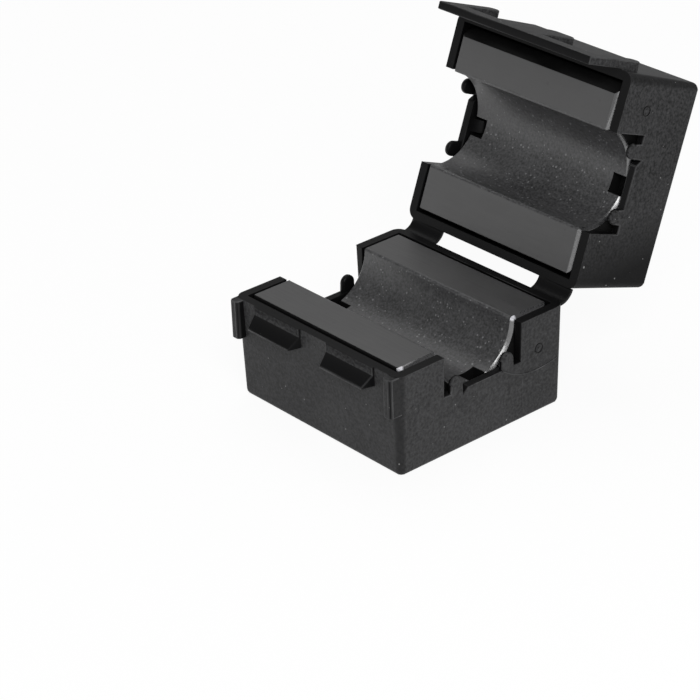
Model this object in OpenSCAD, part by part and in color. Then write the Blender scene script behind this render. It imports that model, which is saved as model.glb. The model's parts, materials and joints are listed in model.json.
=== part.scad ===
// Clip-on ferrite bead, open: a hinged two-part case with a ferrite half core in each half.
// X runs along the cable, Y from the latch side to the hinge side, Z up.
// The origin is the middle of the lower half's base. All sizes are in millimetres.

/* [Case] */
// Length of the case along the cable, at the rims
case_len = 32; // [28:0.5:44]
// Width of the case from latch side to hinge side, at the rims
case_w = 29; // [27:0.5:40]
// Height of each half from its base to its rim
half_h = 14.6; // [13.6:0.2:20]
// Thickness of the latch side and hinge side walls at the rim
side_wall = 1.2; // [1:0.1:2]
// Thickness of the end walls at the rim
end_wall = 1.35; // [1.2:0.05:2]
// Thickness of the base
base_wall = 1.5; // [1:0.1:2]
// How far the draft brings each wall in from rim to base
draft = 0.45; // [0.1:0.05:0.6]
// Radius of the upright corners at the rim
corner_r = 1.4; // [1.2:0.1:2.4]
// Bevel round the outer face of each half
base_bevel = 0.5; // [0.1:0.05:0.7]

/* [Ferrite core] */
// Diameter of the cable channel between the two cores
bore_d = 13; // [9:0.5:14]
// Gap between a core and the latch side and hinge side walls
core_side_gap = 0.5; // [0.1:0.05:0.8]
// Gap between a core and the end walls
core_end_gap = 0.2; // [0.1:0.05:0.5]
// How far a core's ground face stands above the rim
core_proud = 0.15; // [0.05:0.05:0.4]
// Radius of the core's upright corners
core_corner_r = 0.9; // [0.4:0.1:1.5]
// Chamfer at the ends of the core's ground faces and channel
end_chamfer = 0.45; // [0.2:0.05:1]
// Chamfer along the sides of the core's ground faces
side_chamfer = 0.15; // [0.1:0.05:0.6]
// Chamfer along the latch side of the upper core's ground face
upper_latch_chamfer = 1.4; // [0.2:0.1:2]
// Width of the notch at each end of the channel
notch_w = 2.6; // [2.2:0.1:4]
// Length of that notch along the channel
notch_len = 2.5; // [2:0.1:4]

/* [Cable windows] */
// Width of the window in each end wall
window_w = 13.3; // [12:0.1:16]
// Depth of the window below the rim
window_depth = 5.7; // [4.5:0.1:6.4]
// Width of a cable finger
finger_w = 2.15; // [1.6:0.05:2.8]
// Height of a cable finger above the window's floor
finger_h = 2.1; // [1.6:0.1:4]
// Depth of a cable finger in from the end of the case
finger_t = 0.95; // [0.7:0.05:1.2]
// Slot between a finger and the window's side
finger_slot = 1.15; // [0.8:0.05:1.8]
// Relief below the window's floor beside the latch-side finger
finger_relief = 0.8; // [0.3:0.1:1.2]

/* [Core hooks] */
// Width of the hook that holds a core down
hook_w = 1.9; // [1.4:0.1:2.1]
// Distance of the hooks and notches from the middle, towards the hinge
hook_shift = 0.65; // [0:0.05:1.5]
// Reach of the hook from the end wall
hook_out = 1.3; // [0.8:0.1:1.8]
// Height of the hook
hook_h = 1.8; // [1.2:0.1:2.4]
// Depth of the hook's top below the window's floor
hook_drop = 0.6; // [0.3:0.1:1]
// Play between the hook and the notch's floor
hook_play = 0.1; // [0.05:0.05:0.3]
// Length of the opening in the outer face below a hook
pocket_len = 7.4; // [4:0.2:9]
// Width of that opening
pocket_w = 6; // [4:0.2:8]

/* [Latch] */
// Thickness of the latch plate
plate_t = 1.1; // [0.8:0.05:1.4]
// Gap between the latch plate and the lower half's wall
plate_gap = 0.15; // [0.1:0.05:0.5]
// Reach of the latch plate below the parting plane
plate_drop = 6.3; // [5.5:0.1:8]
// Rise of the latch plate's tabs above the parting plane
tab_rise = 3.95; // [3:0.05:6]
// Width of the middle tab
mid_tab_w = 4.6; // [3:0.2:8]
// Width of each outer tab
side_tab_w = 2.05; // [1.2:0.05:3]
// Largest radius at the top of a tab
tab_r = 1.2; // [0.4:0.1:2]
// Reach of a catch out from the front wall
catch_out = 1.85; // [1.4:0.05:2.2]
// Depth of the catch's underside below the rim
catch_depth = 2.75; // [2:0.05:3.2]
// Height of the catch's blunt tip
catch_tip_h = 0.3; // [0.1:0.05:0.6]
// Height of the raised pad between the rim and the catch's slope
pad_h = 1.1; // [0.6:0.1:1.6]
// Reach of that pad out from the front wall
pad_out = 0.3; // [0.1:0.05:0.5]
// Slant of the catch's ends, from wall to tip
catch_slant = 0.5; // [0.1:0.1:1]
// Play between a catch and its window in the latch plate
latch_play = 0.25; // [0.1:0.05:0.5]
// Width of each guide rib beside the latch plate
rib_w = 1.6; // [1:0.1:2.5]
// Reach of a guide rib out from the front wall
rib_out = 1.1; // [0.5:0.1:1.5]
// Height of a guide rib, down from just below the rim
rib_h = 5.5; // [4:0.1:8]
// Distance from a guide rib to the end of the case
rib_inset = 0.3; // [0.3:0.1:2]
// Gap between a guide rib and the latch plate
rib_gap = 0.15; // [0.1:0.05:1]

/* [Hinge] */
// Opening angle, 0 when closed
open_angle = 111; // [75:1:150]
// Distance of the hinge axis behind the rear wall
hinge_out = 1.07; // [0.8:0.01:1.6]
// Thickness of a hinge strap
strap_t = 0.5; // [0.3:0.05:0.6]
// Width of a hinge strap
strap_w = 5.9; // [4:0.1:8]
// Distance from a strap to the end of the case
strap_inset = 0.8; // [0:0.1:2]
// Depth of a strap's middle below the parting plane
strap_drop = 0.65; // [0.45:0.05:1.2]

/* [Hidden] */
$fn = 64;
// Overlap that lets a cut pass cleanly through a face
past = 1;
nylon_black = [0.06, 0.06, 0.065];
ferrite_grey = [0.33, 0.33, 0.35];

front_y = -case_w / 2;
rear_y = case_w / 2;
end_x = case_len / 2;
inner_end_x = end_x - end_wall;
// Where the two ground faces meet when the clip is closed
parting_z = half_h + core_proud;
upper_rim_z = parting_z + core_proud;
// How deep a moulded feature's root lies in the wall that it stands on
root = side_wall / 2;

post_x = end_x - corner_r;
post_y = case_w / 2 - corner_r;

core_len = case_len - 2 * (end_wall + core_end_gap);
core_w = case_w - 2 * (side_wall + core_side_gap);
core_h = parting_z - base_wall;
bore_r = bore_d / 2;

finger_y = window_w / 2 - finger_slot - finger_w / 2;
window_floor_z = half_h - window_depth;
hook_top_z = window_floor_z - hook_drop;
hook_under_z = hook_top_z - hook_h;
notch_floor_z = hook_under_z - hook_play;
pocket_end_x = inner_end_x - core_end_gap / 2;

rib_x = end_x - rib_inset - rib_w;
plate_w = 2 * (rib_x - rib_gap);
plate_low_z = parting_z - plate_drop;
bar_top_z = half_h - catch_depth - latch_play;
side_tab_x = (plate_w - side_tab_w) / 2;
latch_window_from = mid_tab_w / 2;
latch_window_to = plate_w / 2 - side_tab_w;
catch_from = latch_window_from + latch_play;
catch_to = latch_window_to - latch_play;

pivot_y = rear_y + hinge_out;
strap_centre_z = parting_z + hinge_out * tan(open_angle / 2);
strap_r = strap_centre_z - parting_z + strap_drop;
strap_x = end_x - strap_inset - strap_w / 2;

// Inset of a drafted wall at height z
function inset(z) = draft * (1 - z / half_h);

// Carries the upper half from its closed place to the open one
module swung_open() {
    translate([0, pivot_y, parting_z])
        rotate([-open_angle, 0, 0])
            translate([0, -pivot_y, -parting_z]) children();
}

// Turns a lower half's shape over on to the other side of the parting plane
module turned_over() {
    translate([0, 0, 2 * parting_z]) mirror([0, 0, 1]) children();
}

// Extrudes an outline drawn in Y and Z along X, about the middle
module along_x(length) {
    rotate([90, 0, 90]) linear_extrude(length, center = true) children();
}

// Extrudes an outline drawn in X and Z along Y, about the middle
module along_y(length) {
    rotate([90, 0, 0]) linear_extrude(length, center = true) children();
}

// Copies to both ends or both sides
module both(axis) {
    children();
    mirror(axis) children();
}

// Section of a half across walls that stand `width` apart at the rim
module half_section(width) {
    rim = width / 2;
    polygon([
        [-rim, half_h], [-rim + inset(base_bevel), base_bevel], [-rim + draft + base_bevel, 0],
        [rim - draft - base_bevel, 0], [rim - inset(base_bevel), base_bevel], [rim, half_h]
    ]);
}

// One upright corner of a half, rounded and drafted like the walls
module corner_post() {
    rotate_extrude()
        polygon([
            [0, 0], [corner_r - draft - base_bevel, 0], [corner_r - inset(base_bevel), base_bevel],
            [corner_r, half_h], [0, half_h]
        ]);
}

// Outer form of a half, before it is hollowed
module half_block() {
    along_y(2 * post_y) half_section(case_len);
    along_x(2 * post_x) half_section(case_w);
    both([1, 0, 0]) both([0, 1, 0]) translate([post_x, post_y, 0]) corner_post();
}

// A cable finger with a round tip, standing on the window's floor
module finger_outline() {
    round_z = window_floor_z + finger_h - finger_w / 2;
    translate([finger_y - finger_w / 2, window_floor_z - past])
        square([finger_w, round_z - window_floor_z + past]);
    translate([finger_y, round_z]) circle(d = finger_w);
}

// The cable window of an end wall, with no fingers in it
module window_outline() {
    translate([-window_w / 2, window_floor_z]) square([window_w, window_depth + past]);
}

// The cable window less its fingers, with the relief at the root of the latch-side finger
module fingered_outline() {
    relief_y = finger_w / 2 - finger_y;
    difference() {
        window_outline();
        both([1, 0, 0]) finger_outline();
    }
    polygon([
        [relief_y, window_floor_z - finger_relief], [relief_y + finger_relief, window_floor_z],
        [relief_y + finger_relief, half_h], [relief_y, half_h]
    ]);
}

// The hook inside an end wall that snaps over the core's notch
module core_hook() {
    tip_x = inner_end_x - hook_out;
    translate([0, hook_shift, 0]) along_y(hook_w)
        polygon([
            [inner_end_x + end_wall / 3, hook_under_z], [tip_x, hook_under_z],
            [tip_x, hook_under_z + hook_h / 3], [inner_end_x, hook_top_z],
            [inner_end_x + end_wall / 3, hook_top_z]
        ]);
}

// The opening in the outer face below a hook
module pocket() {
    translate([pocket_end_x - pocket_len, -pocket_w / 2, -past])
        cube([pocket_len, pocket_w, base_wall + 2 * past]);
}

// A case half as both halves share it: tray, cable windows, hooks and their openings
module half_shell() {
    difference() {
        half_block();
        translate([-inner_end_x, front_y + side_wall, base_wall])
            cube([2 * inner_end_x, case_w - 2 * side_wall, half_h]);
        along_x(case_len + 2 * past) fingered_outline();
        along_x(case_len - 2 * finger_t) window_outline();
        both([1, 0, 0]) pocket();
    }
    both([1, 0, 0]) core_hook();
}

// A catch: raised pad, slope, blunt tip and a flat underside that the latch plate hooks under
module catch() {
    middle = (catch_from + catch_to) / 2;
    wide = (catch_to - catch_from) / 2;
    tip_y = front_y - catch_out;
    under_z = half_h - catch_depth;
    intersection() {
        translate([middle, 0, 0]) along_x(2 * wide)
            polygon([
                [front_y + root, half_h], [front_y - pad_out, half_h], [front_y - pad_out, half_h - pad_h],
                [tip_y, under_z + catch_tip_h], [tip_y, under_z], [front_y + root, under_z]
            ]);
        translate([middle, 0, half_h - catch_depth - past]) linear_extrude(catch_depth + 2 * past)
            polygon([
                [-wide, front_y + root], [-wide, front_y], [-wide + catch_slant, tip_y],
                [wide - catch_slant, tip_y], [wide, front_y], [wide, front_y + root]
            ]);
    }
}

// A guide rib that the latch plate's edge runs along, rooted in the wall and its rounded corner
module guide_rib() {
    bevel = rib_out / 3;
    out_y = front_y - rib_out;
    translate([rib_x, 0, half_h - rib_gap / 2 - rib_h]) linear_extrude(rib_h)
        polygon([
            [0, front_y + root], [0, out_y + bevel], [bevel, out_y],
            [rib_w - bevel, out_y], [rib_w, out_y + bevel], [rib_w, front_y + corner_r]
        ]);
}

// A latch tab with a rounded top, from the plate's lower edge up
module tab_outline(width) {
    r = min(tab_r, width / 2);
    height = parting_z + tab_rise - plate_low_z;
    translate([-width / 2, plate_low_z]) square([width, height - r]);
    if (width > 2 * r) {
        translate([r - width / 2, plate_low_z]) square([width - 2 * r, height]);
    }
    both([1, 0]) translate([width / 2 - r, plate_low_z + height - r]) circle(r);
}

module tabs_outline() {
    tab_outline(mid_tab_w);
    both([1, 0]) translate([side_tab_x, 0]) tab_outline(side_tab_w);
}

// The latch plate: three tabs on the upper front wall, and the bar that snaps under the catches
module latch_plate() {
    translate([0, front_y - plate_gap - plate_t / 2, 0]) along_y(plate_t) {
        tabs_outline();
        translate([-plate_w / 2, plate_low_z]) square([plate_w, bar_top_z - plate_low_z]);
    }
    // the tabs' roots on the wall
    root_deep = root + plate_gap + plate_t / 2;
    translate([0, front_y + root - root_deep / 2, 0]) along_y(root_deep)
        intersection() {
            tabs_outline();
            translate([-plate_w / 2 - past, upper_rim_z]) square([plate_w + 2 * past, tab_rise + past]);
        }
}

// A core as it lies in the lower half
module half_core(latch_chamfer) {
    difference() {
        intersection() {
            core_block();
            along_x(core_len + past) core_section(core_w, latch_chamfer, side_chamfer);
            along_y(core_w + past) core_section(core_len, end_chamfer, end_chamfer);
        }
        translate([0, 0, parting_z]) rotate([0, 90, 0])
            cylinder(r = bore_r, h = core_len + 2 * past, center = true);
        both([1, 0, 0]) translate([core_len / 2, 0, parting_z]) rotate([0, -90, 0])
            cylinder(r1 = bore_r + end_chamfer, r2 = bore_r, h = end_chamfer);
        both([1, 0, 0]) translate([core_len / 2 - notch_len, hook_shift - notch_w / 2, notch_floor_z])
            cube([notch_len + past, notch_w, core_h]);
    }
}

// The core's block with rounded upright corners
module core_block() {
    x = core_len / 2 - core_corner_r;
    y = core_w / 2 - core_corner_r;
    translate([-core_len / 2, -y, base_wall]) cube([core_len, 2 * y, core_h]);
    translate([-x, -core_w / 2, base_wall]) cube([2 * x, core_w, core_h]);
    both([1, 0, 0]) both([0, 1, 0]) translate([x, y, base_wall]) cylinder(r = core_corner_r, h = core_h);
}

// The core's section with its two top edges chamfered
module core_section(width, first, second) {
    side = width / 2;
    polygon([
        [-side, base_wall], [side, base_wall], [side, parting_z - second],
        [side - second, parting_z], [first - side, parting_z], [-side, parting_z - first]
    ]);
}

module lower_case() {
    color(nylon_black) {
        half_shell();
        both([1, 0, 0]) catch();
        both([1, 0, 0]) guide_rib();
    }
}

module upper_case() {
    color(nylon_black) swung_open() {
        turned_over() half_shell();
        latch_plate();
    }
}

// Two straps bent in an arc from one rear wall to the other, round the line where the walls' planes meet
module hinge_straps() {
    turn = 180 - open_angle;
    reach = 2 * strap_r;
    color(nylon_black) both([1, 0, 0]) translate([strap_x, 0, 0]) along_x(strap_w)
        translate([rear_y, strap_centre_z]) intersection() {
            difference() {
                circle(strap_r + strap_t / 2);
                circle(strap_r - strap_t / 2);
            }
            polygon([[0, 0], [0, -reach], reach * [tan(turn / 2), -1], reach * [sin(turn), -cos(turn)]]);
        }
}

module lower_ferrite() {
    color(ferrite_grey) half_core(side_chamfer);
}

module upper_ferrite() {
    color(ferrite_grey) swung_open() turned_over() half_core(upper_latch_chamfer);
}

lower_case();
upper_case();
hinge_straps();
lower_ferrite();
upper_ferrite();
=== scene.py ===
"""Open clip-on ferrite bead: a black case on two hinge straps, with a ferrite core in each half."""

import json
import math

import bmesh
import bpy
from bpy.props import FloatProperty, FloatVectorProperty, PointerProperty
from bpy.types import NodeSocket, Operator, Panel, PropertyGroup
from mathutils import Matrix, Vector


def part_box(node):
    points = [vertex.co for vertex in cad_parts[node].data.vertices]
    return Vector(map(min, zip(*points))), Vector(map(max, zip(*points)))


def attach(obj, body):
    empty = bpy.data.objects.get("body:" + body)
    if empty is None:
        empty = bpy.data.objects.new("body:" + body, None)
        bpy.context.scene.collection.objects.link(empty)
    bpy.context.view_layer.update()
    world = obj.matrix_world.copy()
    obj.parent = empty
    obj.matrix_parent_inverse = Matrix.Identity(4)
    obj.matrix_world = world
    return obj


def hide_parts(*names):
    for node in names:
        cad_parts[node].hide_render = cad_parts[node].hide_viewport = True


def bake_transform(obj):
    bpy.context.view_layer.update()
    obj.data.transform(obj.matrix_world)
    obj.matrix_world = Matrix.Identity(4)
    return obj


bl_info = {
    "name": "Clip-on Ferrite Bead",
    "version": (1, 0, 0),
    "blender": (4, 5, 0),
    "location": "View3D > Sidebar > Ferrite Bead",
    "description": "Dresses the case, the hinge straps and the cores of an open clip-on ferrite bead",
    "category": "Object",
}

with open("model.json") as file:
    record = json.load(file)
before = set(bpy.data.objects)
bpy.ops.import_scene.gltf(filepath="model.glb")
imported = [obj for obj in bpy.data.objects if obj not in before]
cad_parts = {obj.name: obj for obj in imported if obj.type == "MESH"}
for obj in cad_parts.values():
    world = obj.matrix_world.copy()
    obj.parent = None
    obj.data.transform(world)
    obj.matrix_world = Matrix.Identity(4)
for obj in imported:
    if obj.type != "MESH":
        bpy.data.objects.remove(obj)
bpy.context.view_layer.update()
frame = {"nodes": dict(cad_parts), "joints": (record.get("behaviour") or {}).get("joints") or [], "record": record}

MM = 0.001
# Points closer than this are one point, and faces within this angle are one flat face
WELD = 0.002 * MM
FLAT_ANGLE = math.radians(0.5)
SHARP_ANGLE = math.radians(32)
GROUND_IOR = 2.0
SINTERED_IOR = 1.7
POLISHED_IOR = 2.5

LOWER_LOW, LOWER_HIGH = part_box("lower_case")
CORE_LOW, CORE_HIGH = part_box("lower_ferrite")
STRAP_LOW, STRAP_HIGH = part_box("hinge_straps")
HINGE = frame["joints"][0]
HINGE_POINT = Vector(HINGE["pos_m"])
CHANNEL_RADIUS = frame["record"]["mounts"][1]["dims"]["r_mm"] * MM
PARTING_Z = CORE_HIGH.z

# Painted highlights at two of the lower core's corners, bright spots that stand in for glints: the outer one
# beside the latch and the inner one beside the hinge
GLINT_SPOTS = (
    (CORE_HIGH.x - 0.3 * MM, CORE_LOW.y + 0.3 * MM, PARTING_Z),
    (CORE_HIGH.x - 0.2 * MM, CHANNEL_RADIUS + 0.3 * MM, PARTING_Z),
)
GLINT_SPOT_RADIUS = 0.65 * MM

# Carry a point of each half to the place that it has in the lower half, open side up
TURN_SHUT = (
    Matrix.Translation(HINGE_POINT)
    @ Matrix.Rotation(math.radians(HINGE["range_deg"][0]), 4, Vector(HINGE["axis"]))
    @ Matrix.Translation(-HINGE_POINT)
)
TURN_OVER = Matrix.Translation((0, 0, 2 * PARTING_Z)) @ Matrix.Diagonal((1, 1, -1, 1))
TO_TRAY = {"lower": Matrix.Identity(4), "upper": TURN_OVER @ TURN_SHUT}

# Faces of a half within these bounds are the inside of its tray, windows and openings
INSIDE_X = LOWER_HIGH.x - 0.5 * MM
INSIDE_Y = LOWER_HIGH.y - 0.6 * MM
INSIDE_Z = 0.4 * MM
# The catches on the latch wall, and the corners with the strength of their painted shade, the draft and the base
# bevel of the walls
CATCH_REACH = 1.2 * MM
FRONT_Y = -LOWER_HIGH.y
CORNER_RADIUS = 1.4 * MM
CORNER_SHADE = 2.6
WALL_DRAFT = 0.45 * MM
BASE_BEVEL = 0.5 * MM
BASE_ANGLE = math.radians(60)
# Where the plastic was fed into each half, on the end face towards +X
GATE_PLACES = {"lower": (9.9 * MM, 9.7 * MM), "upper": (-9.9 * MM, 9.85 * MM)}
GATE_RADIUS = 0.75 * MM
# Distance from the gate's middle and height above the wall, in shares of its radius
GATE_RING = [(1.0, -0.1), (1.0, 0.04), (0.86, 0.1), (0.74, 0.04), (0.74, -0.1)]
GATE_NUB = [(0.0, -0.1), (0.34, -0.1), (0.3, 0.1), (0.16, 0.2), (0.0, 0.16)]
# The line on the lower half's end face where the plastic met: a curve that bends up on both sides
MEETING_Y, MEETING_Z = 9.2 * MM, 6.6 * MM
MEETING_SPAN = (3.4 * MM, 13.2 * MM)
BEND_TO_WINDOW, BEND_TO_REAR = 0.062 / MM, 0.025 / MM
MEETING_WIDTH = Vector((0, 0, 0.16 * MM))
# A second line runs upright below it
UPRIGHT_LINE = [(7 * MM, 1.7 * MM), (7.05 * MM, 4.2 * MM), (7 * MM, 6.7 * MM)]
UPRIGHT_WIDTH = Vector((0, 0.1 * MM, 0))
# Both lines stand a little proud and are lighter than the wall, taking the worn edges' lighter colour
LINE_RISE, LINE_THICKNESS, LINE_LIGHTNESS = 0.02 * MM, 0.05 * MM, 3.0
# Where the cable fingers stand in the end windows
FINGER_INNER, FINGER_OUTER = 3.35 * MM, 5.5 * MM
WINDOW_FLOOR_Z = 8.9 * MM

# Strips in half a turn of a corner and of a channel, and steps along each curve
CORNER_STRIPS, CHANNEL_STRIPS = 24, 32
GATE_STEPS, STRAP_STEPS, MEETING_STEPS = 20, 20, 24
STRAP_EDGE_RADIUS = 0.08 * MM

# Lamps as size in metres and power in watts, the key's place as seen from the camera
KEY_RIGHT, KEY_UP, KEY_BACK = 0.06, 0.1, 0.55
KEY_LAMP = (0.3, 1.75)
OVERHEAD_PLACE = Vector((-0.25, 0.2, 0.6))
OVERHEAD_LAMP = (0.5, 1.0)
# Strength of the backdrop's light, reach of the floor and strength of the white that it shows
HORIZON_LIGHT, CEILING_LIGHT = 0.8, 0.18
FLOOR_SIZE = 6.0
FLOOR_WHITE = 1.08


class CaseSettings(PropertyGroup):
    """Sizes and colours of the moulded case and its hinge straps."""

    plastic_colour: FloatVectorProperty(
        name="Plastic", description="Colour of the black nylon", subtype="COLOR",
        default=(0.04, 0.04, 0.041), min=0, max=1,
    )
    # Painted shade: the upper half has its own copy of the nylon, which reflects less so that it shows darker than
    # the lower half
    upper_plastic_colour: FloatVectorProperty(
        name="Upper plastic", description="Colour of the upper half's nylon, which shines less",
        subtype="COLOR", default=(0.041, 0.041, 0.042), min=0, max=1,
    )
    worn_colour: FloatVectorProperty(
        name="Worn edges", description="Colour of the nylon where its edges are rubbed", subtype="COLOR",
        default=(0.1, 0.1, 0.102), min=0, max=1,
    )
    polished_colour: FloatVectorProperty(
        name="Smooth plastic", description="Colour of the rims, insides, catch slopes and straps",
        subtype="COLOR", default=(0.0055, 0.0055, 0.0058), min=0, max=1,
    )
    dust_colour: FloatVectorProperty(
        name="Dust", description="Colour of the dust specks", subtype="COLOR",
        default=(0.26, 0.26, 0.26), min=0, max=1,
    )
    edge_radius: FloatProperty(
        name="Edge radius", description="Radius of the moulded edges", subtype="DISTANCE",
        default=0.16 * MM, min=0.02 * MM, max=0.3 * MM, precision=5,
    )
    base_radius: FloatProperty(
        name="Base edge radius", description="Radius that softens the bevel round each outer face",
        subtype="DISTANCE", default=0.28 * MM, min=0.02 * MM, max=0.3 * MM, precision=5,
    )
    rim_radius: FloatProperty(
        name="Rim radius", description="Radius of the edges round the top of the walls", subtype="DISTANCE",
        default=0.06 * MM, min=0.01 * MM, max=0.07 * MM, precision=5,
    )
    finger_radius: FloatProperty(
        name="Finger edge radius", description="Radius of the cable fingers' edges", subtype="DISTANCE",
        default=0.3 * MM, min=0.05 * MM, max=0.35 * MM, precision=5,
    )
    grain_size: FloatProperty(
        name="Grain", description="Size of the moulded grain", subtype="DISTANCE",
        default=0.4 * MM, min=0.05 * MM, max=1 * MM, precision=5,
    )
    dust_spacing: FloatProperty(
        name="Dust spacing", description="Spacing of the places where a speck of dust may lie",
        subtype="DISTANCE", default=1.5 * MM, min=0.3 * MM, max=5 * MM, precision=5,
    )
    hinge_shade: FloatProperty(
        name="Hinge shade", description="Reach of the dark stretch of the upper end walls from the hinge",
        subtype="DISTANCE", default=8 * MM, min=1 * MM, max=20 * MM, precision=5,
    )
    strap_thickness: FloatProperty(
        name="Strap thickness", description="Thickness of a hinge strap", subtype="DISTANCE",
        default=0.5 * MM, min=0.2 * MM, max=0.8 * MM, precision=5,
    )
    strap_width: FloatProperty(
        name="Strap width", description="Width of a hinge strap", subtype="DISTANCE",
        default=5.9 * MM, min=3 * MM, max=8 * MM, precision=5,
    )


class CoreSettings(PropertyGroup):
    """Sizes and colours of the ferrite half cores."""

    ground_colour: FloatVectorProperty(
        name="Ground faces", description="Colour of the ground mating faces", subtype="COLOR",
        default=(0.027, 0.027, 0.0275), min=0, max=1,
    )
    sintered_colour: FloatVectorProperty(
        name="Channel", description="Colour of the sintered channel", subtype="COLOR",
        default=(0.053, 0.053, 0.0545), min=0, max=1,
    )
    # Painted shade: the sides of the cores are near black for the shade in the gaps beside the walls
    side_colour: FloatVectorProperty(
        name="Sides", description="Colour of the dark sides in the gaps round a core", subtype="COLOR",
        default=(0.004, 0.004, 0.004), min=0, max=1,
    )
    chamfer_colour: FloatVectorProperty(
        name="End chamfers", description="Colour of the bright end chamfers", subtype="COLOR",
        default=(0.014, 0.014, 0.016), min=0, max=1,
    )
    # Painted highlight: colour of the bright spots that stand in for glints at two corners of the lower core
    chip_colour: FloatVectorProperty(
        name="Chips", description="Colour of the bare ferrite at the chipped corners", subtype="COLOR",
        default=(0.8, 0.8, 0.85), min=0, max=1,
    )
    channel_edge_radius: FloatProperty(
        name="Channel edge radius", description="Radius of the long edges of the channel",
        subtype="DISTANCE", default=0.4 * MM, min=0.05 * MM, max=0.8 * MM, precision=5,
    )
    edge_radius: FloatProperty(
        name="Edge radius", description="Radius of the other edges", subtype="DISTANCE",
        default=0.07 * MM, min=0.02 * MM, max=0.2 * MM, precision=5,
    )
    grain_size: FloatProperty(
        name="Grain", description="Size of the sintered grain", subtype="DISTANCE",
        default=0.34 * MM, min=0.05 * MM, max=1 * MM, precision=5,
    )


class StageSettings(PropertyGroup):
    """Floor, light and camera."""

    floor_colour: FloatVectorProperty(
        name="Floor", description="Colour of the floor", subtype="COLOR",
        default=(0.7, 0.7, 0.7), min=0, max=1,
    )
    floor_glow: FloatProperty(
        name="Floor glow", description="Share of plain white that the camera and mirrors see in the floor",
        subtype="FACTOR", default=0.85, min=0, max=1,
    )
    azimuth: FloatProperty(
        name="Azimuth", description="Direction of the camera round the bead", subtype="ANGLE",
        default=math.radians(49.986),
    )
    elevation: FloatProperty(
        name="Elevation", description="Height of the camera above the horizon", subtype="ANGLE",
        default=math.radians(28.223),
    )
    roll: FloatProperty(
        name="Roll", description="Turn of the camera about its own axis", subtype="ANGLE",
        default=math.radians(-2.22),
    )
    distance: FloatProperty(
        name="Distance", description="Distance from the camera to its aim", subtype="DISTANCE",
        default=354.85 * MM, min=50 * MM,
    )
    aim: FloatVectorProperty(
        name="Aim", description="Point that the camera looks at", subtype="XYZ", unit="LENGTH",
        default=(-1.89 * MM, -6.93 * MM, 9 * MM),
    )
    lens: FloatProperty(
        name="Lens", description="Focal length on a 36 mm sensor, in millimetres",
        default=140.76, min=20, max=400,
    )


# Shader nodes


def add_node(tree, kind, inputs=None, **settings):
    """A node of a kind with its settings, and its inputs set or linked."""
    node = tree.nodes.new(kind)
    for name, value in settings.items():
        setattr(node, name, value)
    for socket, value in (inputs or {}).items():
        if isinstance(value, NodeSocket):
            tree.links.new(value, node.inputs[socket])
        else:
            node.inputs[socket].default_value = value
    return node


def arithmetic(tree, operation, first, second=0.0):
    """The result of a sum or comparison of two values."""
    return add_node(tree, "ShaderNodeMath", {0: first, 1: second}, operation=operation).outputs[0]


def remap(tree, value, low, high, to_low, to_high):
    """Carries the range from low to high over to another, and keeps to its ends outside it."""
    inputs = {"Value": value, "From Min": low, "From Max": high, "To Min": to_low, "To Max": to_high}
    return add_node(tree, "ShaderNodeMapRange", inputs).outputs["Result"]


def mixed_colour(tree, share, first, second):
    """A share of the second colour laid over the first."""
    inputs = {"Factor": share, 6: first, 7: second}
    return add_node(tree, "ShaderNodeMix", inputs, data_type="RGBA").outputs[2]


def opaque(colour):
    """A colour with full alpha, as sockets take it."""
    return (*colour, 1.0)


def new_group(name, inputs, outputs):
    """An empty shader node group with float sockets, and its input node."""
    group = bpy.data.node_groups.new(name, "ShaderNodeTree")
    for socket in inputs:
        group.interface.new_socket(socket, in_out="INPUT", socket_type="NodeSocketFloat")
    for socket in outputs:
        group.interface.new_socket(socket, in_out="OUTPUT", socket_type="NodeSocketFloat")
    return group, group.nodes.new("NodeGroupInput")


def object_noise(tree, scale, detail):
    """Noise that stays fixed to the piece."""
    place = add_node(tree, "ShaderNodeTexCoord").outputs["Object"]
    inputs = {"Vector": place, "Scale": scale, "Detail": detail, "Roughness": 0.6}
    return add_node(tree, "ShaderNodeTexNoise", inputs).outputs[0]


def make_grain_group():
    """Fine grain for a surface: its height, and the slow drift of its tone."""
    group, entry = new_group("fine_grain", ["Size"], ["Height", "Tone"])
    scale = arithmetic(group, "DIVIDE", 1.0, entry.outputs["Size"])
    fine = object_noise(group, scale, 2.0)
    slow = object_noise(group, arithmetic(group, "MULTIPLY", scale, 0.04), 3.0)
    add_node(group, "NodeGroupOutput", {"Height": fine, "Tone": slow})
    return group


def make_speck_group():
    """Scattered small specks: a mask that is 1 on a speck."""
    group, entry = new_group("specks", ["Spacing", "Radius", "Share"], ["Mask"])
    place = add_node(group, "ShaderNodeTexCoord").outputs["Object"]
    scale = arithmetic(group, "DIVIDE", 1.0, entry.outputs["Spacing"])
    cells = add_node(group, "ShaderNodeTexVoronoi", {"Vector": place, "Scale": scale})
    chance = add_node(group, "ShaderNodeSeparateColor", {"Color": cells.outputs["Color"]})
    chosen = arithmetic(group, "LESS_THAN", chance.outputs["Red"], entry.outputs["Share"])
    size = arithmetic(group, "MULTIPLY", entry.outputs["Radius"], chance.outputs["Green"])
    inside = arithmetic(group, "LESS_THAN", cells.outputs["Distance"], size)
    add_node(group, "NodeGroupOutput", {"Mask": arithmetic(group, "MULTIPLY", chosen, inside)})
    return group


def use_group(tree, make, **values):
    """Places a shared node group, which is built the first time that it is asked for."""
    name = {make_grain_group: "fine_grain", make_speck_group: "specks"}[make]
    group = bpy.data.node_groups.get(name) or make()
    return add_node(tree, "ShaderNodeGroup", values, node_tree=group).outputs


def new_material(name):
    """An empty material, its node tree and its surface shader."""
    material = bpy.data.materials.new(name)
    material.use_nodes = True
    tree = material.node_tree
    tree.nodes.clear()
    shader = add_node(tree, "ShaderNodeBsdfPrincipled")
    add_node(tree, "ShaderNodeOutputMaterial", {"Surface": shader.outputs[0]})
    return material, tree, shader


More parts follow.
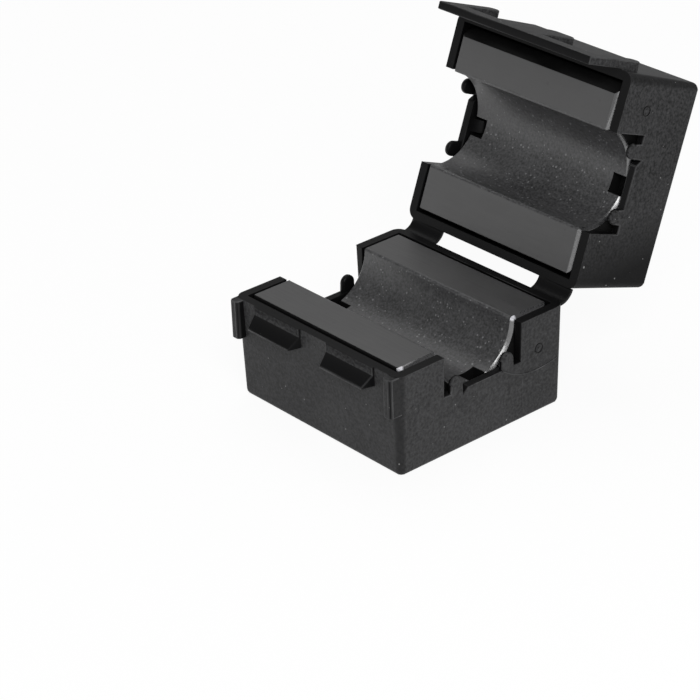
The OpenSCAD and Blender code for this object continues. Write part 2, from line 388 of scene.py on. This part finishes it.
def feed(tree, shader, **sockets):
    """Links or sets inputs of the shader, named with underscores for spaces."""
    for name, value in sockets.items():
        socket = shader.inputs[name.replace("_", " ")]
        if isinstance(value, NodeSocket):
            tree.links.new(value, socket)
        else:
            socket.default_value = value


def bumped(tree, height, strength, depth):
    """Normals that are tilted by a height."""
    inputs = {"Height": height, "Strength": strength, "Distance": depth}
    return add_node(tree, "ShaderNodeBump", inputs).outputs[0]


def grainy_shade(tree, grain):
    """From 0 in the dark of a grain to 1 in its light, with a slow drift over the surface."""
    drift = arithmetic(tree, "MULTIPLY", arithmetic(tree, "SUBTRACT", grain["Tone"], 0.5), 0.3)
    return remap(tree, arithmetic(tree, "ADD", grain["Height"], drift), 0.3, 0.7, 0.0, 1.0)


def moulded_nylon(settings, half):
    """Black nylon with a fine matte grain, rubbed edges and specks of dust, and painted shade in the upright
    corners and, on the upper half, near the hinge.
    """
    material, tree, shader = new_material(f"{half}_moulded_nylon")
    grain = use_group(tree, make_grain_group, Size=settings.grain_size)
    dust = use_group(tree, make_speck_group, Spacing=settings.dust_spacing, Radius=0.12, Share=0.7)
    worn = add_node(tree, "ShaderNodeAttribute", attribute_name="worn_edge").outputs["Fac"]
    rubbed = arithmetic(tree, "MULTIPLY", worn, remap(tree, grain["Tone"], 0.45, 0.65, 0.1, 1.0))
    # Painted shade: the upright corners darken towards the smooth plastic's colour
    corner = add_node(tree, "ShaderNodeAttribute", attribute_name="painted_corner_shade").outputs["Fac"]
    dark = arithmetic(tree, "MULTIPLY", corner, 0.6)
    plain = Vector(settings.plastic_colour if half == "lower" else settings.upper_plastic_colour)
    colour = mixed_colour(tree, grainy_shade(tree, grain), opaque(plain * 0.35), opaque(plain * 1.65))
    # Painted shade: the upper half's end walls darken towards the hinge, over the hinge shade's reach above it
    if half == "upper":
        place = add_node(tree, "ShaderNodeTexCoord").outputs
        height = add_node(tree, "ShaderNodeSeparateXYZ", {"Vector": place["Object"]}).outputs["Z"]
        facing = add_node(tree, "ShaderNodeSeparateXYZ", {"Vector": place["Normal"]}).outputs["X"]
        low, high = HINGE_POINT.z, HINGE_POINT.z + settings.hinge_shade
        near = remap(tree, height, low, high, 0.95, 0.0)
        near = arithmetic(tree, "MULTIPLY", near, arithmetic(tree, "ABSOLUTE", facing))
        dark = arithmetic(tree, "MAXIMUM", dark, near)
    # Painted shade, from the corners and on the upper half from the hinge, blends the colour towards the dark
    # smooth plastic
    colour = mixed_colour(tree, dark, colour, opaque(settings.polished_colour))
    colour = mixed_colour(tree, rubbed, colour, opaque(settings.worn_colour))
    colour = mixed_colour(tree, dust["Mask"], colour, opaque(settings.dust_colour))
    # Painted shade: the upper half's copy reflects less than the lower one's, so that the same nylon shows darker
    feed(
        tree, shader, Base_Color=colour, Roughness=remap(tree, grain["Height"], 0.3, 0.7, 0.5, 0.68),
        Specular_IOR_Level=0.2 if half == "lower" else 0.08,
        Normal=bumped(tree, grain["Height"], 0.5, 0.04 * MM),
    )
    return material


def smooth_nylon(settings):
    """Black nylon against a smooth mould face: rims, insides, catch slopes and straps."""
    material, tree, shader = new_material("smooth_nylon")
    grain = use_group(tree, make_grain_group, Size=2 * settings.grain_size)
    dust = use_group(tree, make_speck_group, Spacing=settings.dust_spacing, Radius=0.08, Share=0.25)
    worn = add_node(tree, "ShaderNodeAttribute", attribute_name="worn_edge").outputs["Fac"]
    rubbed = arithmetic(tree, "MULTIPLY", worn, remap(tree, grain["Tone"], 0.5, 0.7, 0.0, 0.6))
    colour = mixed_colour(tree, rubbed, opaque(settings.polished_colour), opaque(settings.worn_colour))
    colour = mixed_colour(tree, dust["Mask"], colour, opaque(settings.dust_colour))
    feed(
        tree, shader, Base_Color=colour, Roughness=remap(tree, grain["Tone"], 0.35, 0.65, 0.32, 0.44),
        Specular_IOR_Level=0.12, Normal=bumped(tree, grain["Height"], 0.15, 0.02 * MM),
    )
    return material


def ground_ferrite(settings):
    """A ground mating face: even grey with faint grinding streaks along the core."""
    material, tree, shader = new_material("ground_ferrite")
    grain = use_group(tree, make_grain_group, Size=0.6 * settings.grain_size)
    place = add_node(tree, "ShaderNodeTexCoord").outputs["Object"]
    drawn_out = add_node(tree, "ShaderNodeMapping", {"Vector": place, "Scale": (180, 4500, 4500)})
    inputs = {"Vector": drawn_out.outputs[0], "Scale": 1.0}
    streaks = add_node(tree, "ShaderNodeTexNoise", inputs).outputs[0]
    pits = use_group(tree, make_speck_group, Spacing=2.5 * settings.grain_size, Radius=0.3, Share=0.12)
    tone = arithmetic(tree, "ADD", grain["Tone"], arithmetic(tree, "SUBTRACT", streaks, 0.5))
    plain = Vector(settings.ground_colour)
    shade = remap(tree, tone, 0.3, 0.7, 0.0, 1.0)
    colour = mixed_colour(tree, shade, opaque(plain * 0.85), opaque(plain * 1.12))
    colour = mixed_colour(tree, pits["Mask"], colour, opaque(plain * 0.6))
    feed(
        tree, shader, Base_Color=colour, Roughness=remap(tree, streaks, 0.3, 0.7, 0.4, 0.52),
        IOR=GROUND_IOR, Normal=bumped(tree, streaks, 0.1, 0.02 * MM),
    )
    return material


def sintered_ferrite(settings):
    """The channel as it left the furnace: darker and grainy, with painted glints, lighter specks that stand in for
    crystal facets catching the light.
    """
    material, tree, shader = new_material("sintered_ferrite")
    grain = use_group(tree, make_grain_group, Size=settings.grain_size)
    glints = use_group(tree, make_speck_group, Spacing=1.3 * settings.grain_size, Radius=0.36, Share=0.3)
    plain = Vector(settings.sintered_colour)
    colour = mixed_colour(tree, grainy_shade(tree, grain), opaque(plain * 0.4), opaque(plain * 1.6))
    # Painted glints: the specks are lighter in colour for facets that catch the light
    colour = mixed_colour(tree, glints["Mask"], colour, opaque(plain * 3.5))
    feed(
        tree, shader, Base_Color=colour, Roughness=remap(tree, grain["Height"], 0.3, 0.7, 0.38, 0.5),
        IOR=SINTERED_IOR, Normal=bumped(tree, grain["Height"], 0.5, 0.04 * MM),
    )
    return material


def painted_shade_ferrite(settings):
    """The sides of a core, dull, with painted shade that makes them dark in the gap beside the wall."""
    material, tree, shader = new_material("painted_shade_ferrite")
    grain = use_group(tree, make_grain_group, Size=settings.grain_size)
    plain = Vector(settings.side_colour)
    colour = mixed_colour(tree, grain["Height"], opaque(plain * 0.5), opaque(plain * 1.5))
    feed(tree, shader, Base_Color=colour, Roughness=0.7, Specular_IOR_Level=0.15)
    return material


def bright_chamfer(settings):
    """The polished end chamfers, dark but for what they mirror, with painted highlights at two corners that stand
    in for glints.
    """
    material, tree, shader = new_material("bright_chamfer")
    grain = use_group(tree, make_grain_group, Size=settings.grain_size)
    plain = Vector(settings.chamfer_colour)
    shade = remap(tree, grain["Height"], 0.35, 0.65, 0.0, 1.0)
    colour = mixed_colour(tree, shade, opaque(plain * 0.6), opaque(plain * 1.3))
    place = add_node(tree, "ShaderNodeTexCoord").outputs["Object"]
    # Painted highlights: a bright spot round each place, standing in for a glint on the corner
    for spot in GLINT_SPOTS:
        apart = add_node(tree, "ShaderNodeVectorMath", {0: place, 1: spot}, operation="DISTANCE")
        glint_share = remap(tree, apart.outputs["Value"], 0.6 * GLINT_SPOT_RADIUS, GLINT_SPOT_RADIUS, 1.0, 0.0)
        colour = mixed_colour(tree, glint_share, colour, opaque(settings.chip_colour))
    feed(
        tree, shader, Base_Color=colour, Roughness=remap(tree, grain["Height"], 0.35, 0.65, 0.24, 0.38),
        IOR=POLISHED_IOR, Normal=bumped(tree, grain["Height"], 0.1, 0.03 * MM),
    )
    return material


def finish_of(make, settings):
    """A finish that pieces share, made the first time that one asks for it."""
    return bpy.data.materials.get(make.__name__) or make(settings)


# Meshes


def cad_copy(node):
    """A merged copy of a CAD node's mesh, with its flat faces whole again."""
    bm = bmesh.new()
    bm.from_mesh(frame["nodes"][node].data)
    bmesh.ops.remove_doubles(bm, verts=bm.verts, dist=WELD)
    bmesh.ops.dissolve_limit(bm, angle_limit=FLAT_ANGLE, verts=bm.verts, edges=bm.edges)
    return bm


def even_strips(bm, faces, point, axis, steps):
    """Cuts a round face into even strips about its axis, in place of the facets that it came with."""
    whole = bmesh.ops.dissolve_faces(bm, faces=faces, use_verts=False)["region"]
    across = axis.orthogonal().normalized()
    for step in range(steps):
        cut = Matrix.Rotation(math.pi * step / steps, 3, axis) @ across
        edges = {edge for face in whole for edge in face.edges}
        verts = {vert for face in whole for vert in face.verts}
        geom = bmesh.ops.bisect_plane(
            bm, geom=[*whole, *edges, *verts], dist=0.1 * WELD, plane_co=point, plane_no=cut
        )["geom"]
        whole = [item for item in geom if isinstance(item, bmesh.types.BMFace)]


def is_sharp(edge):
    """True of an outward corner. An inward one stays crisp, as a mould leaves it."""
    return edge.is_manifold and edge.is_convex and edge.calc_face_angle() > SHARP_ANGLE


def round_edges(bm, edges, radius, segments, mark=None):
    """Rounds edges, and marks the faces that it makes and gives back."""
    made = bmesh.ops.bevel(
        bm, geom=list(edges), offset=radius, offset_type="OFFSET", affect="EDGES", segments=segments,
        profile=0.5, material=-1, clamp_overlap=False, loop_slide=True,
    )
    for face in made["faces"] if mark else ():
        face[mark] = 1.0
    return made["faces"]


def finish_piece(bm, name, finishes):
    """Makes a piece of a finished bmesh, smooth within its sharp edges."""
    mesh = bpy.data.meshes.new(name)
    for face in bm.faces:
        face.smooth = True
    bm.to_mesh(mesh)
    bm.free()
    mesh.set_sharp_from_angle(angle=SHARP_ANGLE)
    for finish in finishes:
        mesh.materials.append(finish)
    piece = bpy.data.objects.new(name, mesh)
    bpy.context.scene.collection.objects.link(piece)
    even = piece.modifiers.new("Even shading", "WEIGHTED_NORMAL")
    even.keep_sharp = True
    return piece


def on_finger(edge, to_tray):
    """True of an edge of a cable finger's round tip or sides."""
    middle = to_tray @ ((edge.verts[0].co + edge.verts[1].co) / 2)
    across = FINGER_INNER - WELD < abs(middle.y) < FINGER_OUTER + WELD
    return across and abs(middle.x) > CORE_HIGH.x and WINDOW_FLOOR_Z < middle.z < LOWER_HIGH.z - WELD


def corner_offset(place):
    """How far a point in the tray lies past the axis of the nearest upright corner, in X and Y."""
    return Vector((
        abs(place.x) - LOWER_HIGH.x + CORNER_RADIUS, abs(place.y) - LOWER_HIGH.y + CORNER_RADIUS
    ))


def even_corners(bm, to_tray):
    """Cuts the rounded upright corners, and the bevel below them, into even strips."""
    turn = to_tray.to_3x3()
    back = to_tray.inverted()
    for x in (-1, 1):
        for y in (-1, 1):
            walls, bevels = [], []
            for face in bm.faces:
                centre, normal = to_tray @ face.calc_center_median(), turn @ face.normal
                out = corner_offset(centre)
                rounded = min(out) > 0 and CORNER_RADIUS / 2 < out.length < CORNER_RADIUS + WELD
                outward = min(x * normal.x, y * normal.y) > 0.02
                on_corner = rounded and outward and min(x * centre.x, y * centre.y) > 0
                if on_corner and normal.z > -0.3:
                    walls.append(face)
                elif on_corner and centre.z < BASE_BEVEL:
                    bevels.append(face)
            post = Vector((
                x * (LOWER_HIGH.x - CORNER_RADIUS), y * (LOWER_HIGH.y - CORNER_RADIUS), LOWER_HIGH.z
            ))
            axis = (back.to_3x3() @ Vector((0, 0, 1))).normalized()
            for faces in (walls, bevels):
                even_strips(bm, faces, back @ post, axis, CORNER_STRIPS)


def on_rim(edge, to_tray):
    """True of an edge round the top of a half's walls."""
    return all(abs((to_tray @ vert.co).z - LOWER_HIGH.z) < WELD for vert in edge.verts)


def away_from_latch(edge, to_tray):
    """True of an edge clear of the latch wall, where the ribs and tabs stand close under the rim."""
    return min((to_tray @ vert.co).y for vert in edge.verts) > FRONT_Y + CORNER_RADIUS - WELD


def on_base(edge, to_tray):
    """True of an edge of the bevel round a half's outer face."""
    ends = [to_tray @ vert.co for vert in edge.verts]
    low = max(end.z for end in ends) < BASE_BEVEL + WELD
    sides = [abs(end.x) > LOWER_HIGH.x - 2 * CORNER_RADIUS or abs(end.y) > LOWER_HIGH.y - 2 * CORNER_RADIUS
             for end in ends]
    return low and all(sides) and edge.calc_face_angle() < BASE_ANGLE


def darken_corners(bm, to_tray):
    """Marks how far each point lies round an upright corner, for the painted shade that darkens the corners."""
    mark = bm.verts.layers.float.new("painted_corner_shade")
    for vert in bm.verts:
        out = corner_offset(to_tray @ vert.co)
        if min(out) > 0 and out.length > CORNER_RADIUS / 2:
            out.normalize()
            vert[mark] = min(1.0, CORNER_SHADE * out.x * out.y)


def end_face_point(y, z):
    """The point of the lower half's drafted end face at a place across and up it."""
    return Vector((LOWER_HIGH.x - WALL_DRAFT * (1 - z / LOWER_HIGH.z), y, z))


def add_gate(bm, half, to_tray, worn):
    """The round mark where the plastic was fed in: a low ring with a torn nub in the middle."""
    centre = end_face_point(*GATE_PLACES[half])
    back = to_tray.inverted()
    old = set(bm.faces)
    for outline in (GATE_RING, GATE_NUB):
        points = [centre + GATE_RADIUS * Vector((high, out, 0)) for out, high in outline]
        verts = [bm.verts.new(back @ point) for point in points]
        chain = [bm.edges.new(pair) for pair in zip(verts, verts[1:])]
        if outline is GATE_RING:
            chain.append(bm.edges.new((verts[-1], verts[0])))
        bmesh.ops.spin(
            bm, geom=[*verts, *chain], cent=back @ centre, axis=(1, 0, 0), angle=2 * math.pi,
            steps=GATE_STEPS, use_merge=True,
        )
    added = [face for face in bm.faces if face not in old]
    bmesh.ops.remove_doubles(bm, verts=list({vert for face in added for vert in face.verts}), dist=WELD)
    added = [face for face in added if face.is_valid]
    bmesh.ops.recalc_face_normals(bm, faces=added)
    middle = back @ centre
    for face in added:
        on_nub = (face.calc_center_median() - middle).length < 0.5 * GATE_RADIUS
        face.material_index, face[worn] = int(not on_nub), 0.6 * on_nub


def add_meeting_line(bm, worn):
    """The fine raised lines on the lower half's end face where two streams of plastic met."""
    first, last = MEETING_SPAN
    arc = []
    for step in range(MEETING_STEPS + 1):
        y = first + (last - first) * step / MEETING_STEPS
        bend = BEND_TO_WINDOW if y < MEETING_Y else BEND_TO_REAR
        arc.append((y, MEETING_Z + bend * (y - MEETING_Y) ** 2))
    for line, width in ((arc, MEETING_WIDTH), (UPRIGHT_LINE, UPRIGHT_WIDTH)):
        verts = [bm.verts.new(end_face_point(y, z) + Vector((LINE_RISE, 0, 0))) for y, z in line]
        chain = [bm.edges.new(pair) for pair in zip(verts, verts[1:])]
        made = bmesh.ops.extrude_edge_only(bm, edges=chain)["geom"]
        moved = [item for item in made if isinstance(item, bmesh.types.BMVert)]
        bmesh.ops.translate(bm, verts=moved, vec=width)
        strip = [item for item in made if isinstance(item, bmesh.types.BMFace)]
        shell = bmesh.ops.solidify(bm, geom=strip, thickness=LINE_THICKNESS)["geom"]
        faces = {*strip, *(item for item in shell if isinstance(item, bmesh.types.BMFace))}
        bmesh.ops.recalc_face_normals(bm, faces=list(faces))
        for face in faces:
            face[worn] = LINE_LIGHTNESS


def case_half(half, settings):
    """A half of the case, with its edges rounded and its smooth faces told from the grained ones."""
    bm = cad_copy(f"{half}_case")
    worn = bm.faces.layers.float.new("worn_edge")
    to_tray = TO_TRAY[half]
    turn = to_tray.to_3x3()
    even_corners(bm, to_tray)
    for face in bm.faces:
        centre, normal = to_tray @ face.calc_center_median(), turn @ face.normal
        rim = normal.z > 0.9 and centre.z > LOWER_HIGH.z - WELD
        inside = abs(centre.x) < INSIDE_X and abs(centre.y) < INSIDE_Y and centre.z > INSIDE_Z
        inside = inside and min(corner_offset(centre)) < 0
        catch_slope = half == "lower" and centre.y < LOWER_LOW.y + CATCH_REACH and 0.3 < normal.z < 0.95
        # The sides of the ribs and catches out on the latch wall take the dark smooth finish too, darker than the
        # grained end walls that face the same way
        latch_side = half == "lower" and centre.y < FRONT_Y and abs(normal.x) > 0.5
        face.material_index = int(rim or inside or catch_slope or latch_side)
    fingers = [edge for edge in bm.edges if is_sharp(edge) and on_finger(edge, to_tray)]
    round_edges(bm, fingers, settings.finger_radius, 3)
    base = [edge for edge in bm.edges if is_sharp(edge) and on_base(edge, to_tray)]
    round_edges(bm, base, settings.base_radius, 2)
    rims = [edge for edge in bm.edges if is_sharp(edge) and on_rim(edge, to_tray)]
    rims = [edge for edge in rims if away_from_latch(edge, to_tray)]
    round_edges(bm, rims, settings.rim_radius, 3, worn)
    others = [edge for edge in bm.edges if is_sharp(edge) and not on_rim(edge, to_tray)]
    others = [edge for edge in others if not any(face[worn] for face in edge.link_faces)]
    round_edges(bm, others, settings.edge_radius, 2, worn)
    darken_corners(bm, to_tray)
    add_gate(bm, half, to_tray, worn)
    if half == "lower":
        add_meeting_line(bm, worn)
    finishes = [moulded_nylon(settings, half), finish_of(smooth_nylon, settings)]
    return finish_piece(bm, f"{half}_case_moulding", finishes)


CORE_FINISHES = (ground_ferrite, sintered_ferrite, bright_chamfer, painted_shade_ferrite)
GROUND, SINTERED, CHAMFER, SIDE = range(len(CORE_FINISHES))


def core_half(half, settings):
    """A half core: ground faces, a grainy channel, bright end chamfers and rounded channel edges."""
    bm = cad_copy(f"{half}_ferrite")
    to_tray = TO_TRAY[half]
    turn = to_tray.to_3x3()
    end_x = CORE_HIGH.x
    round_faces = {"channel": [], -1: [], 1: []}
    for face in bm.faces:
        centre, normal = to_tray @ face.calc_center_median(), turn @ face.normal
        within = math.hypot(centre.y, centre.z - PARTING_Z) < CHANNEL_RADIUS + WELD
        if normal.z > 0.99 and centre.z > PARTING_Z - WELD:
            face.material_index = GROUND
        elif 0.3 < abs(normal.x) < 0.9 and abs(centre.x) > end_x - 1.5 * MM:
            face.material_index = CHAMFER
            if abs(normal.z) < 0.7 or abs(normal.y) > 0.01:
                round_faces[1 if centre.x > 0 else -1].append(face)
        elif within and abs(normal.x) < 0.1 and normal.y * centre.y <= 0:
            face.material_index = SINTERED
            round_faces["channel"].append(face)
        else:
            face.material_index = SIDE
    on_axis = to_tray.inverted() @ Vector((0, 0, PARTING_Z))
    for faces in round_faces.values():
        even_strips(bm, faces, on_axis, Vector((1, 0, 0)), CHANNEL_STRIPS)
    long_edges, others = [], []
    for edge in bm.edges:
        if not is_sharp(edge):
            continue
        middle = to_tray @ ((edge.verts[0].co + edge.verts[1].co) / 2)
        along = (edge.verts[0].co - edge.verts[1].co).normalized()
        beside = abs(abs(middle.y) - CHANNEL_RADIUS) < 0.05 * MM and middle.z > PARTING_Z - 0.05 * MM
        (long_edges if beside and abs(along.x) > 0.99 else others).append(edge)
    for face in round_edges(bm, long_edges, settings.channel_edge_radius, 4):
        face.material_index = SINTERED
    others = [edge for edge in others if edge.is_valid and is_sharp(edge)]
    round_edges(bm, others, settings.edge_radius, 2)
    finishes = [finish_of(make, settings) for make in CORE_FINISHES]
    return finish_piece(bm, f"{half}_core", finishes)


def strap_pair(settings):
    """Two straps bent in an arc from the lower rear wall to the upper one."""
    rear_y = STRAP_LOW.y
    out = HINGE_POINT.y - rear_y
    open_turn = math.radians(-HINGE["range_deg"][0])
    centre = Vector((0, rear_y, HINGE_POINT.z + out * math.tan(open_turn / 2)))
    low, high = STRAP_LOW.z, STRAP_LOW.z + settings.strap_thickness
    bm = bmesh.new()
    for side in (-1, 1):
        inner, outer = side * (STRAP_HIGH.x - settings.strap_width), side * STRAP_HIGH.x
        corners = [(inner, low), (outer, low), (outer, high), (inner, high)]
        section = bm.faces.new([bm.verts.new((x, rear_y, z)) for x, z in corners])
        bmesh.ops.spin(
            bm, geom=[section, *section.edges, *section.verts], cent=centre, axis=(1, 0, 0),
            angle=math.pi - open_turn, steps=STRAP_STEPS, use_duplicate=False,
        )
    bmesh.ops.recalc_face_normals(bm, faces=bm.faces)
    worn = bm.faces.layers.float.new("worn_edge")
    round_edges(bm, [edge for edge in bm.edges if is_sharp(edge)], STRAP_EDGE_RADIUS, 2, worn)
    return finish_piece(bm, "hinge_strap_pair", [finish_of(smooth_nylon, settings)])


# Operators


class FERRITE_BEAD_OT_case(Operator):
    """Finish both halves of the moulded case"""

    bl_idname = "ferrite_bead.case"
    bl_label = "Case halves"

    def execute(self, context):
        for half in ("lower", "upper"):
            piece = case_half(half, context.scene.ferrite_case)
            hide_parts(f"{half}_case")
            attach(piece, half)
        return {"FINISHED"}


class FERRITE_BEAD_OT_straps(Operator):
    """Bend the two hinge straps between the halves"""

    bl_idname = "ferrite_bead.straps"
    bl_label = "Hinge straps"

    def execute(self, context):
        piece = strap_pair(context.scene.ferrite_case)
        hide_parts("hinge_straps")
        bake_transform(piece)
        return {"FINISHED"}


class FERRITE_BEAD_OT_cores(Operator):
    """Finish both ferrite half cores"""

    bl_idname = "ferrite_bead.cores"
    bl_label = "Ferrite cores"

    def execute(self, context):
        for half in ("lower", "upper"):
            piece = core_half(half, context.scene.ferrite_core)
            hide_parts(f"{half}_ferrite")
            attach(piece, half)
        return {"FINISHED"}


class FERRITE_BEAD_OT_stage(Operator):
    """Lay the floor, light the bead and set the camera"""

    bl_idname = "ferrite_bead.stage"
    bl_label = "Floor, light and camera"

    def execute(self, context):
        settings = context.scene.ferrite_stage
        lay_floor(settings)
        set_world()
        back, right, up = camera_axes(settings)
        aim = Vector(settings.aim)
        add_lamp("key", aim + KEY_BACK * back + KEY_UP * up + KEY_RIGHT * right, aim, *KEY_LAMP)
        add_lamp("overhead", OVERHEAD_PLACE, aim, *OVERHEAD_LAMP)
        add_camera(settings, back, right, up)
        context.scene.view_settings.view_transform = "Standard"
        return {"FINISHED"}


def lay_floor(settings):
    """A pale floor that looks white to the camera and keeps the bead's shadow."""
    bm = bmesh.new()
    bmesh.ops.create_grid(bm, x_segments=1, y_segments=1, size=FLOOR_SIZE)
    material, tree, shader = new_material("pale_floor")
    feed(tree, shader, Base_Color=opaque(settings.floor_colour), Roughness=0.9, Specular_IOR_Level=0.1)
    ray = add_node(tree, "ShaderNodeLightPath").outputs
    seen = arithmetic(tree, "ADD", ray["Is Camera Ray"], ray["Is Glossy Ray"])
    seen = arithmetic(tree, "MINIMUM", arithmetic(tree, "ADD", seen, ray["Is Transmission Ray"]), 1.0)
    glow = add_node(tree, "ShaderNodeEmission", {"Color": (1, 1, 1, 1), "Strength": FLOOR_WHITE})
    share = arithmetic(tree, "MULTIPLY", seen, settings.floor_glow)
    surface = add_node(tree, "ShaderNodeMixShader", {0: share, 1: shader.outputs[0], 2: glow.outputs[0]})
    tree.links.new(surface.outputs[0], tree.nodes["Material Output"].inputs["Surface"])
    floor = finish_piece(bm, "floor", [material])


def set_world():
    """A pale backdrop at the horizon under a dimmer ceiling."""
    world = bpy.data.worlds.new("studio")
    bpy.context.scene.world = world
    world.use_nodes = True
    tree = world.node_tree
    tree.nodes.clear()
    direction = add_node(tree, "ShaderNodeTexCoord").outputs["Generated"]
    height = add_node(tree, "ShaderNodeSeparateXYZ", {"Vector": direction}).outputs["Z"]
    level = remap(tree, height, 0.1, 0.4, HORIZON_LIGHT, CEILING_LIGHT)
    light = add_node(tree, "ShaderNodeBackground", {"Color": (1, 1, 1, 1), "Strength": level})
    add_node(tree, "ShaderNodeOutputWorld", {"Surface": light.outputs[0]})


def camera_axes(settings):
    """Unit vectors from the aim towards the camera, to its right and upwards, before its roll."""
    around, above = settings.azimuth, settings.elevation
    back = Vector((
        math.sin(around) * math.cos(above), -math.cos(around) * math.cos(above), math.sin(above)
    ))
    right = Vector((math.cos(around), math.sin(around), 0))
    return back, right, back.cross(right)


def add_lamp(name, place, aim, size, power):
    """A square soft lamp that faces the aim."""
    data = bpy.data.lights.new(name, "AREA")
    data.shape = "SQUARE"
    data.size = size
    data.energy = power
    lamp = bpy.data.objects.new(name, data)
    lamp.location = place
    lamp.rotation_euler = (aim - place).to_track_quat("-Z", "Y").to_euler()
    bpy.context.scene.collection.objects.link(lamp)


def add_camera(settings, back, right, up):
    """The camera of the photograph, with its roll."""
    data = bpy.data.cameras.new("camera")
    data.sensor_width = 36
    data.lens = settings.lens
    data.clip_start, data.clip_end = 0.01, 50
    camera = bpy.data.objects.new("camera", data)
    axes = Matrix((right, up, back)).transposed().to_4x4() @ Matrix.Rotation(settings.roll, 4, "Z")
    camera.matrix_world = Matrix.Translation(Vector(settings.aim) + settings.distance * back) @ axes
    bpy.context.scene.collection.objects.link(camera)
    bpy.context.scene.camera = camera


class FERRITE_BEAD_PT_panel(Panel):
    """Settings and operators of the ferrite bead"""

    bl_idname = "FERRITE_BEAD_PT_panel"
    bl_label = "Ferrite Bead"
    bl_space_type = "VIEW_3D"
    bl_region_type = "UI"
    bl_category = "Ferrite Bead"

    def draw(self, context):
        for group, operators in GROUPS.items():
            settings = getattr(context.scene, group)
            box = self.layout.box()
            for name in settings.__annotations__:
                box.prop(settings, name)
            for operator in operators:
                box.operator(operator.bl_idname)


GROUPS = {
    "ferrite_case": (FERRITE_BEAD_OT_case, FERRITE_BEAD_OT_straps),
    "ferrite_core": (FERRITE_BEAD_OT_cores,),
    "ferrite_stage": (FERRITE_BEAD_OT_stage,),
}
SETTINGS = {"ferrite_case": CaseSettings, "ferrite_core": CoreSettings, "ferrite_stage": StageSettings}
CLASSES = (
    *SETTINGS.values(), *(operator for operators in GROUPS.values() for operator in operators),
    FERRITE_BEAD_PT_panel,
)


def register():
    """Adds the settings, operators and panel to Blender."""
    for item in CLASSES:
        bpy.utils.register_class(item)
    for name, group in SETTINGS.items():
        setattr(bpy.types.Scene, name, PointerProperty(type=group))


def unregister():
    """Takes them out again."""
    for name in SETTINGS:
        delattr(bpy.types.Scene, name)
    for item in reversed(CLASSES):
        bpy.utils.unregister_class(item)


def main():
    """Builds the dressed bead and its stage."""
    register()
    bpy.ops.ferrite_bead.case()
    bpy.ops.ferrite_bead.straps()
    bpy.ops.ferrite_bead.cores()
    bpy.ops.ferrite_bead.stage()


if __name__ == "__main__":
    main()
